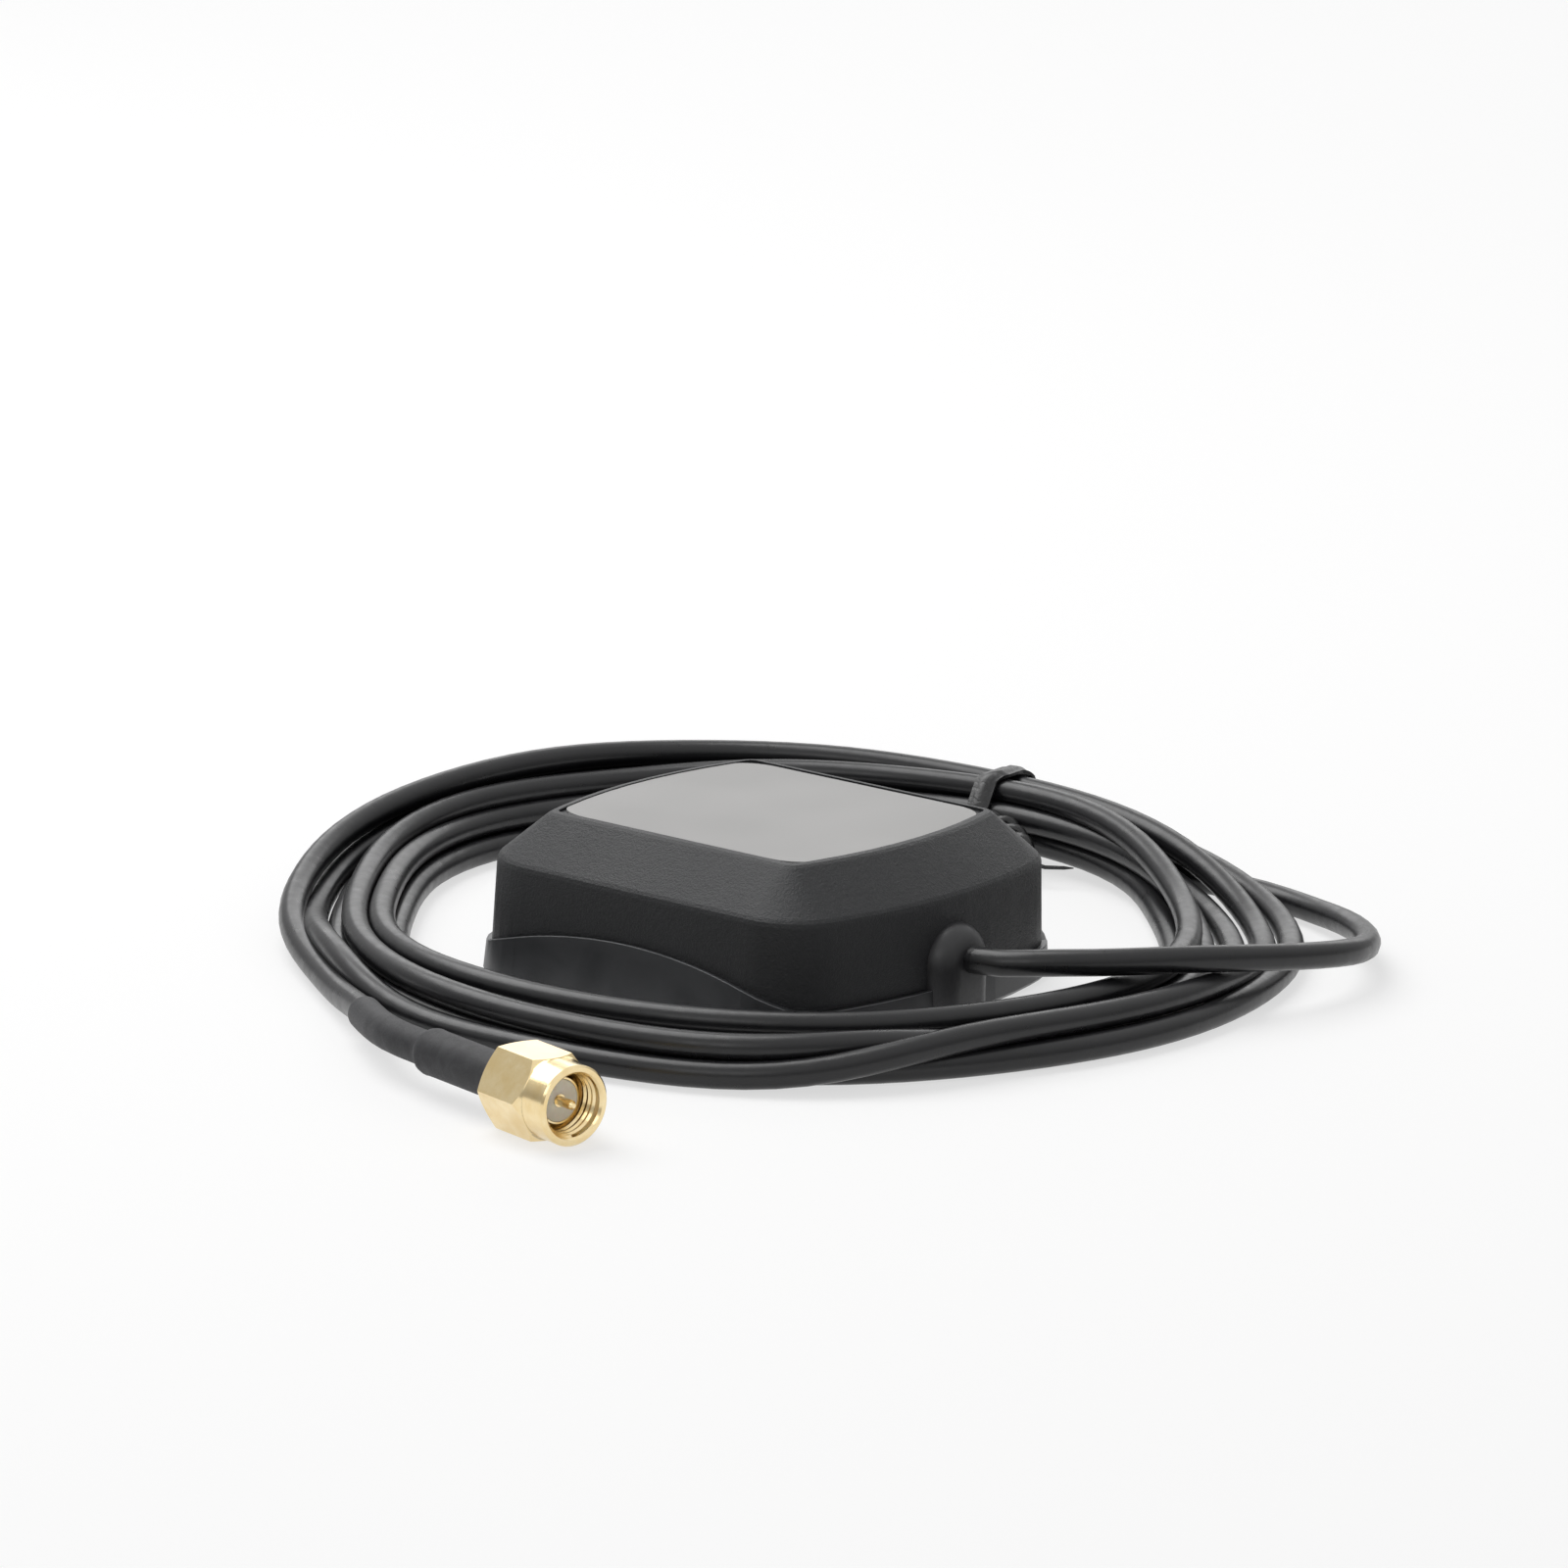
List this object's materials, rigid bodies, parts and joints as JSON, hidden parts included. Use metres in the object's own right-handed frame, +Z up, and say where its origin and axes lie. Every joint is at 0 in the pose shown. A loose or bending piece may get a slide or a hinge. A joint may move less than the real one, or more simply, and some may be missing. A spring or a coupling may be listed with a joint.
{
  "type": "gps antenna",
  "caption": "Low rounded puck antenna with a bevelled top, a cable gland at one end, a tied ring of thin coaxial cable and a screw-on coaxial plug with a free-turning hexagon nut.",
  "frame": {"origin": "middle of the housing's underside, on the surface it stands on", "axes": "+X towards the cable gland, +Y across the housing, +Z up out of the label"},
  "size_m": [0.107, 0.1276, 0.017],
  "materials": {
    "base_plastic": "moulded ABS, satin",
    "cover_plastic": "moulded ABS, fine spark-eroded texture",
    "label_film": "bare light grey film",
    "seal_rubber": "matt",
    "screw_steel": "zinc plated",
    "magnet_nickel": "nickel plated",
    "board_laminate": "green solder mask",
    "pad_foam": "adhesive film",
    "ceramic": "fired ceramic",
    "fired_silver": "fired silver",
    "feed_metal": "tinned",
    "can_tinplate": "tinplate",
    "chip_epoxy": "moulded epoxy",
    "filter_metal": "plated lid",
    "gland_rubber": "moulded, satin",
    "cable_pvc": "PVC, semi-matt",
    "tie_plastic": "plastic covered wire",
    "heat_shrink": "shrunk polyolefin, matt",
    "gold_plate": "gold plated brass",
    "spring_bronze": "bare spring bronze",
    "gasket_silicone": "silicone",
    "ptfe": "PTFE"
  },
  "bodies": {
    "antenna": {"base_shell": "base_plastic", "top_cover": "cover_plastic", "top_label": "label_film", "seal_gasket": "seal_rubber", "base_screws": "screw_steel", "base_magnets": "magnet_nickel", "circuit_board": "board_laminate", "adhesive_pad": "pad_foam", "patch_ceramic": "ceramic", "patch_electrode": "fired_silver", "feed_pin": "feed_metal", "shield_can": "can_tinplate", "amplifier_chip": "chip_epoxy", "saw_filter": "filter_metal", "cable_gland": "gland_rubber", "cable_board_end": "cable_pvc", "cable_lead": "cable_pvc", "cable_coil": "cable_pvc", "cable_tail": "cable_pvc", "twist_tie": "tie_plastic", "heat_shrink_sleeve": "heat_shrink", "crimp_ferrule": "gold_plate", "cable_plug_end": "cable_pvc", "plug_body": "gold_plate", "snap_ring": "spring_bronze", "plug_gasket": "gasket_silicone", "insulator": "ptfe", "centre_pin": "gold_plate"},
    "coupling_nut": {"coupling_nut": "gold_plate"}
  },
  "joints": [
    {"name": "coupling_nut_spin", "type": "hinge", "parent": "antenna", "child": "coupling_nut", "pos_m": [0.0268, -0.0629, 0.004], "axis": [0.9744, -0.225, 0], "continuous": true}
  ]
}
